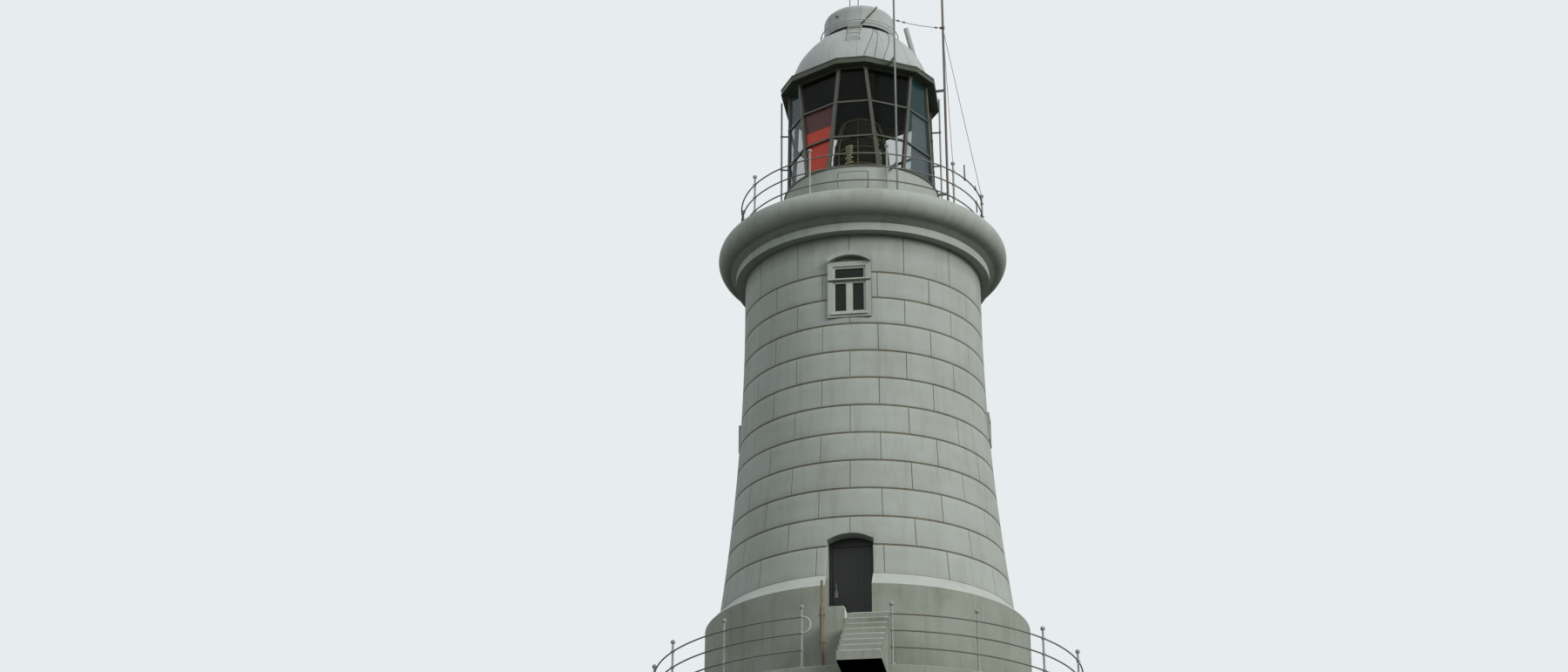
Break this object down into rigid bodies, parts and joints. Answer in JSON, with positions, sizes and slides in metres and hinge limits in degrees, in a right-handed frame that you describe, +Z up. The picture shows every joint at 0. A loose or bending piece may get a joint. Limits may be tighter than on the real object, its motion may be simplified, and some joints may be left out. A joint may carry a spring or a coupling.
{
  "type": "lighthouse",
  "caption": "Round rendered masonry lighthouse on a low round stand, with a hinged entrance door, a railed gallery and a glazed lantern under a domed roof.",
  "frame": {"origin": "on the tower's axis, in the flat underside of the round stand", "axes": "+Z up along the tower's axis, -Y out through the entrance door, +X to the right seen from in front of the door"},
  "size_m": [9.86, 11.068, 20.4],
  "materials": {
    "render": "matt",
    "plinth_render": "matt",
    "floor_concrete": "matt",
    "white_paint": "satin",
    "dark_paint": "satin",
    "bar_paint": "satin",
    "dome_paint": "satin",
    "joinery": "satin",
    "window_paint": "satin",
    "glass": "clear",
    "red_sheet": "clear",
    "grey_sheet": "clear",
    "lens_glass": "clear",
    "steel": "weathered"
  },
  "bodies": {
    "tower": {"crown_rods": "steel", "dome": "dome_paint", "dome_rungs": "steel", "door_arch": "render", "door_frame": "joinery", "door_jamb_left": "render", "door_jamb_right": "render", "door_sill": "plinth_render", "downpipes": "white_paint", "entrance_steps": "plinth_render", "flue_pipe": "white_paint", "gallery_cornice": "render", "gallery_door": "dark_paint", "gallery_posts": "white_paint", "gallery_rails": "white_paint", "grey_screen": "grey_sheet", "ground_floor": "floor_concrete", "lamp_room_floor": "floor_concrete", "landing_block": "plinth_render", "lantern_eave": "dark_paint", "lantern_frame": "bar_paint", "lantern_panes": "glass", "lantern_parapet": "render", "lantern_rings": "bar_paint", "lantern_sill": "dark_paint", "lens": "lens_glass", "lens_pedestal": "bar_paint", "mast_stays": "steel", "masts": "white_paint", "neck_moulding": "render", "plinth_base": "plinth_render", "plinth_wall": "plinth_render", "red_screen": "red_sheet", "shaft_back": "render", "shaft_front": "render", "shaft_left": "render", "shaft_right": "render", "storey_floors": "floor_concrete", "stub_post": "white_paint", "terrace": "plinth_render", "terrace_posts": "white_paint", "terrace_rails": "white_paint", "vent_hood": "dome_paint", "vent_neck": "white_paint", "vent_rail": "white_paint", "window_frames": "window_paint", "window_panes": "glass", "window_surrounds": "render"},
    "door": {"door_leaf": "joinery", "door_handle": "steel"}
  },
  "joints": [
    {"name": "door_hinge", "type": "hinge", "parent": "tower", "child": "door", "pos_m": [0.436, -2.82493, 1.6], "axis": [0, 0, -1], "range_deg": [0, 90]}
  ]
}
